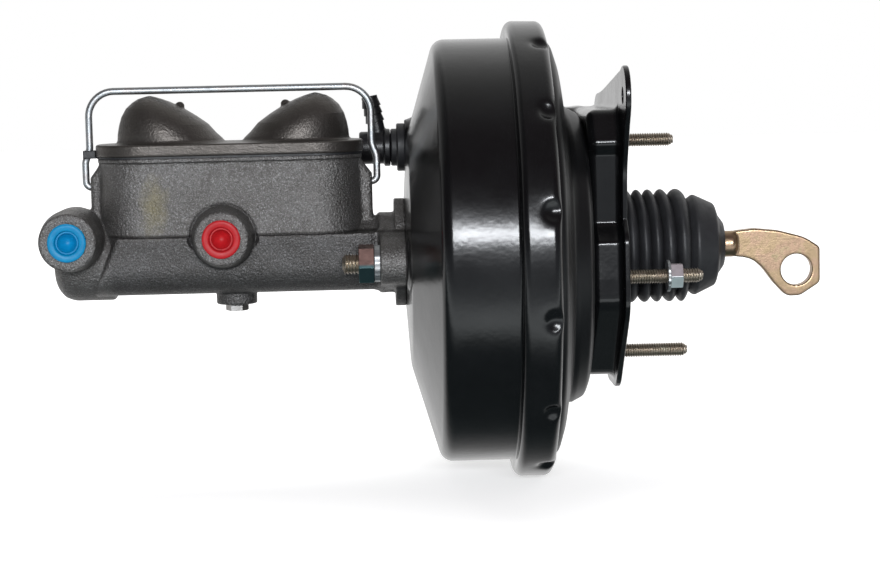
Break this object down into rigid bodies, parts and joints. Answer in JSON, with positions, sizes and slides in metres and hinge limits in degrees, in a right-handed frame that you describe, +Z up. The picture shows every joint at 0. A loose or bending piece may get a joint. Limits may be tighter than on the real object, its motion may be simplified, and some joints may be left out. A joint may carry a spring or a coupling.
{
  "type": "brake booster",
  "caption": "Vacuum brake booster with tandem master cylinder: sheet-metal servo drum, firewall bracket, dust boot, drop-eye pushrod and a cast reservoir with a wire bail.",
  "frame": {"origin": "On the booster's axis, in the plane of the bracket's rear face, which lies against the firewall.", "axes": "+X along the booster's axis towards the pedal, +Z up with the reservoir cover on top, -Y towards the side with the two outlet ports."},
  "size_m": [0.4324, 0.2536, 0.2536],
  "materials": {
    "black_paint": "gloss black",
    "cast": "raw casting",
    "yellow_zinc": "yellow zinc plate",
    "bright_zinc": "bright zinc plate",
    "steel": "plain steel",
    "spring_steel": "spring steel",
    "rubber": "matte black",
    "black_plastic": "moulded nylon",
    "moulded_phenolic": "moulded",
    "filter_foam": "felt",
    "blue_plug": "soft plastic",
    "red_plug": "soft plastic",
    "brass": "machined",
    "aluminium": "machined"
  },
  "bodies": {
    "housing": {"front_shell": "black_paint", "rear_shell": "black_paint", "firewall_bracket": "black_paint", "firewall_studs": "yellow_zinc", "stud_collar": "yellow_zinc", "firewall_nut": "bright_zinc", "firewall_washer": "bright_zinc", "shell_studs": "yellow_zinc", "shell_stud_nuts": "yellow_zinc", "hub_seal": "rubber", "hub_bearing": "moulded_phenolic", "cylinder_body": "cast", "stop_screw": "steel", "tube_seats": "brass", "snap_ring": "spring_steel", "front_seal": "rubber", "cover_gasket": "rubber", "reservoir_cover": "cast", "mc_studs": "yellow_zinc", "mc_washers": "bright_zinc", "mc_nuts": "bright_zinc", "backing_plate": "steel", "valve_grommet": "rubber", "return_spring": "spring_steel", "primary_spring": "spring_steel", "secondary_spring": "spring_steel", "boot_bellows": "rubber", "diaphragm": "rubber"},
    "power_piston": {"valve_body": "moulded_phenolic", "piston_plate": "steel", "reaction_disc": "rubber", "output_rod": "steel", "rod_retainer": "steel", "plunger_key": "steel", "air_filter": "filter_foam", "poppet": "rubber", "boot_collar": "rubber", "rod_return_spring": "spring_steel"},
    "valve_plunger": {"plunger": "steel"},
    "pedal_rod": {"pushrod": "yellow_zinc"},
    "primary": {"primary_piston": "aluminium", "primary_cup": "rubber"},
    "secondary": {"secondary_piston": "aluminium", "secondary_cup": "rubber"},
    "bail": {"bail_wire": "bright_zinc"},
    "vacuum_valve": {"check_valve": "black_plastic"},
    "front_plug": {"front_port_plug": "blue_plug"},
    "rear_plug": {"rear_port_plug": "red_plug"}
  },
  "joints": [
    {"name": "pedal_stroke", "type": "slide", "parent": "housing", "child": "power_piston", "axis": [-1, 0, 0], "range_m": [0, 0.03], "stiffness_N_per_m": 1500, "springref_m": -0.03, "deforming": ["return_spring", "primary_spring", "secondary_spring", "boot_bellows", "diaphragm"]},
    {"name": "primary_travel", "type": "slide", "parent": "housing", "child": "primary", "axis": [-1, 0, 0], "range_m": [0, 0.03]},
    {"name": "secondary_travel", "type": "slide", "parent": "housing", "child": "secondary", "axis": [-1, 0, 0], "range_m": [0, 0.015]},
    {"name": "valve_travel", "type": "slide", "parent": "power_piston", "child": "valve_plunger", "axis": [-1, 0, 0], "range_m": [0, 0.0015], "stiffness_N_per_m": 2000, "springref_m": -0.004, "deforming": ["rod_return_spring"]},
    {"name": "rod_tilt", "type": "hinge", "parent": "valve_plunger", "child": "pedal_rod", "pos_m": [-0.004, 0, 0], "axis": [0, 1, 0], "range_deg": [-2, 2]},
    {"name": "bail_swing", "type": "hinge", "parent": "housing", "child": "bail", "pos_m": [-0.2148, 0, 0.04], "axis": [1, 0, 0], "range_deg": [0, 95]},
    {"name": "check_valve_turn", "type": "hinge", "parent": "housing", "child": "vacuum_valve", "pos_m": [-0.13, 0.034, 0.0573], "axis": [1, 0, 0], "range_deg": [-40, 40]},
    {"name": "front_plug_pull", "type": "slide", "parent": "housing", "child": "front_plug", "axis": [0, -1, 0], "range_m": [0, 0.015]},
    {"name": "rear_plug_pull", "type": "slide", "parent": "housing", "child": "rear_plug", "axis": [0, -1, 0], "range_m": [0, 0.015]}
  ],
  "couplings": [
    {"joint": "primary_travel", "follows": "pedal_stroke", "ratio": 1},
    {"joint": "secondary_travel", "follows": "pedal_stroke", "ratio": 0.5}
  ]
}
